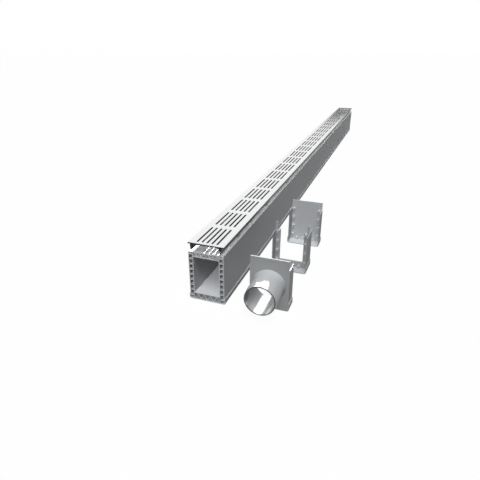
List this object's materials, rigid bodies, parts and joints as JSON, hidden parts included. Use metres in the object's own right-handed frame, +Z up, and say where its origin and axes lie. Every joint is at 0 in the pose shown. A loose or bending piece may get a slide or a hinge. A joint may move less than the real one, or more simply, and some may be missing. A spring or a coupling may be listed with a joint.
{
  "type": "channel drain",
  "caption": "Narrow hollow-wall drainage channel with a raised slotted grate, an outlet end cap with spigot, a joining frame and a blank end cap",
  "frame": {"origin": "middle of the channel's underside", "axes": "+Y along the channel away from the outlet fittings, +X across it towards the loose fittings, +Z up"},
  "size_m": [0.2031, 2.0394, 0.127],
  "materials": {
    "profile_pvc": "extruded satin",
    "moulded_pvc": "moulded satin",
    "grate_metal": "fine satin, mill finish"
  },
  "bodies": {
    "root": {"channel_body": "profile_pvc", "slotted_grate": "grate_metal", "outlet_end_cap": "moulded_pvc", "joining_frame": "moulded_pvc", "blank_end_cap": "moulded_pvc"}
  },
  "joints": []
}
